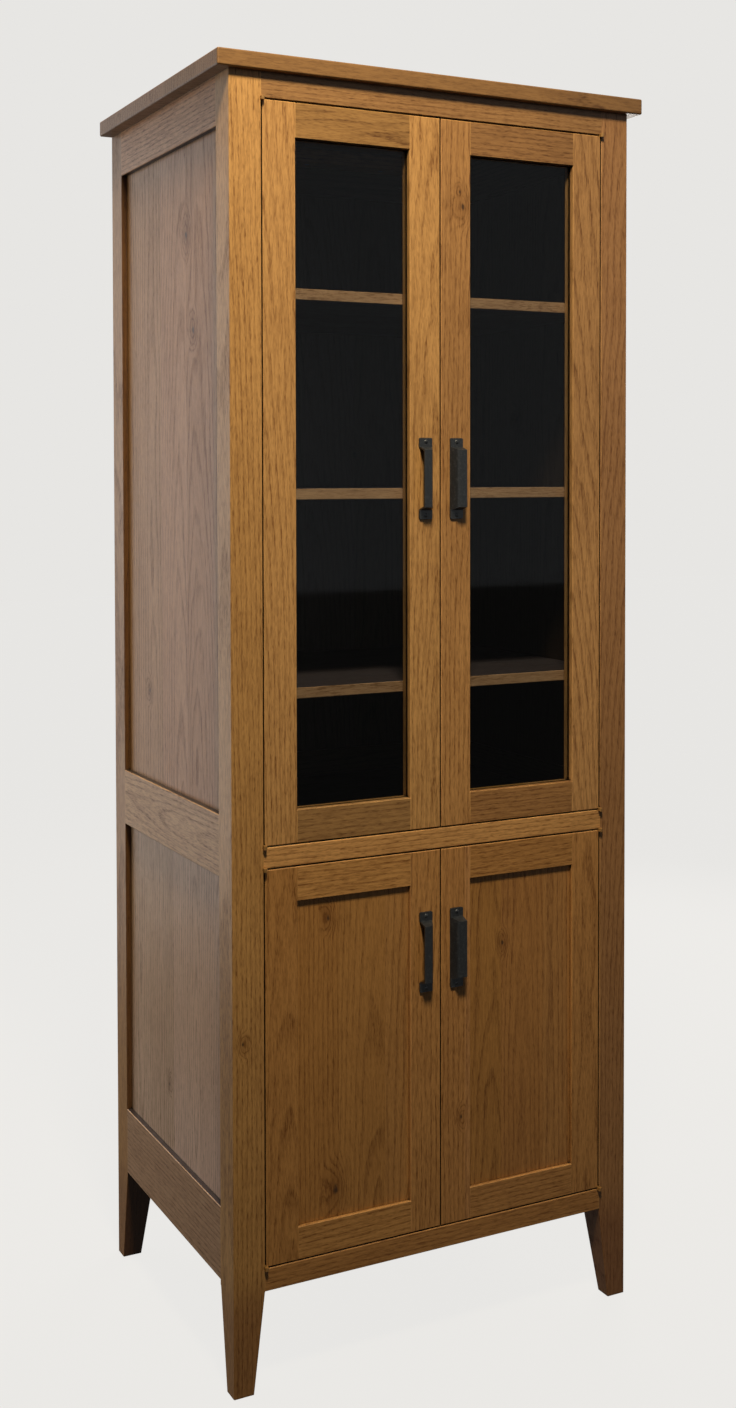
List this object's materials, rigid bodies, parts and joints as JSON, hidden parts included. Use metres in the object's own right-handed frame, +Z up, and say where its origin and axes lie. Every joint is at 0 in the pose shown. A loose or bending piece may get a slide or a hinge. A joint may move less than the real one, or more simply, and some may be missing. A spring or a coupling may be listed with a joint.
{
  "type": "pantry cabinet",
  "caption": "Tall oak cabinet on tapered legs, with glazed doors over panelled doors, framed sides, shelves and black iron pulls.",
  "frame": {"origin": "on the floor, at the middle of the bounding box", "axes": "+Z up, -Y out of the front, +X to the right seen from the front"},
  "size_m": [0.735, 0.471, 1.9],
  "materials": {
    "oak_frame": "satin lacquered oak",
    "oak_panel": "satin lacquered oak with small knots",
    "oak_inside": "lightly lacquered oak",
    "glass": "clear float glass, dark inside",
    "black_iron": "black textured iron",
    "steel": "plain zinc plated",
    "catch_plastic": "dark brown moulded"
  },
  "bodies": {
    "cabinet": {"back_rails": "oak_inside", "bottom_deck": "oak_inside", "catches": "catch_plastic", "frame_hinge_leaves": "steel", "frame_screws": "steel", "front_bottom_rail": "oak_frame", "front_middle_rail": "oak_frame", "front_top_rail": "oak_frame", "left_bottom_side_rail": "oak_frame", "left_front_post": "oak_frame", "left_lower_side_panel": "oak_panel", "left_middle_side_rail": "oak_frame", "left_rear_post": "oak_frame", "left_top_side_rail": "oak_frame", "left_upper_side_panel": "oak_panel", "lower_back_panel": "oak_panel", "middle_deck": "oak_inside", "right_bottom_side_rail": "oak_frame", "right_front_post": "oak_frame", "right_lower_side_panel": "oak_panel", "right_middle_side_rail": "oak_frame", "right_rear_post": "oak_frame", "right_top_side_rail": "oak_frame", "right_upper_side_panel": "oak_panel", "shelf_pins": "steel", "shelves": "oak_inside", "top_battens": "oak_inside", "top_slab": "oak_frame", "upper_back_panel": "oak_panel"},
    "upper_left_door": {"upper_left_door_beads": "oak_inside", "upper_left_door_glass": "glass", "upper_left_door_handle": "black_iron", "upper_left_door_handle_screws": "black_iron", "upper_left_door_hinge_leaves": "steel", "upper_left_door_rails": "oak_frame", "upper_left_door_screws": "steel", "upper_left_door_stiles": "oak_frame"},
    "upper_right_door": {"upper_right_door_beads": "oak_inside", "upper_right_door_glass": "glass", "upper_right_door_handle": "black_iron", "upper_right_door_handle_screws": "black_iron", "upper_right_door_hinge_leaves": "steel", "upper_right_door_rails": "oak_frame", "upper_right_door_screws": "steel", "upper_right_door_stiles": "oak_frame"},
    "lower_left_door": {"lower_left_door_handle": "black_iron", "lower_left_door_handle_screws": "black_iron", "lower_left_door_hinge_leaves": "steel", "lower_left_door_panel": "oak_panel", "lower_left_door_rails": "oak_frame", "lower_left_door_screws": "steel", "lower_left_door_stiles": "oak_frame"},
    "lower_right_door": {"lower_right_door_handle": "black_iron", "lower_right_door_handle_screws": "black_iron", "lower_right_door_hinge_leaves": "steel", "lower_right_door_panel": "oak_panel", "lower_right_door_rails": "oak_frame", "lower_right_door_screws": "steel", "lower_right_door_stiles": "oak_frame"}
  },
  "joints": [
    {"name": "upper_left_door_hinge", "type": "hinge", "parent": "cabinet", "child": "upper_left_door", "pos_m": [-0.295, -0.2235, 1.3115], "axis": [0, 0, -1], "range_deg": [0, 170]},
    {"name": "upper_right_door_hinge", "type": "hinge", "parent": "cabinet", "child": "upper_right_door", "pos_m": [0.295, -0.2235, 1.3115], "axis": [0, 0, 1], "range_deg": [0, 170]},
    {"name": "lower_left_door_hinge", "type": "hinge", "parent": "cabinet", "child": "lower_left_door", "pos_m": [-0.295, -0.2235, 0.4655], "axis": [0, 0, -1], "range_deg": [0, 170]},
    {"name": "lower_right_door_hinge", "type": "hinge", "parent": "cabinet", "child": "lower_right_door", "pos_m": [0.295, -0.2235, 0.4655], "axis": [0, 0, 1], "range_deg": [0, 170]}
  ]
}
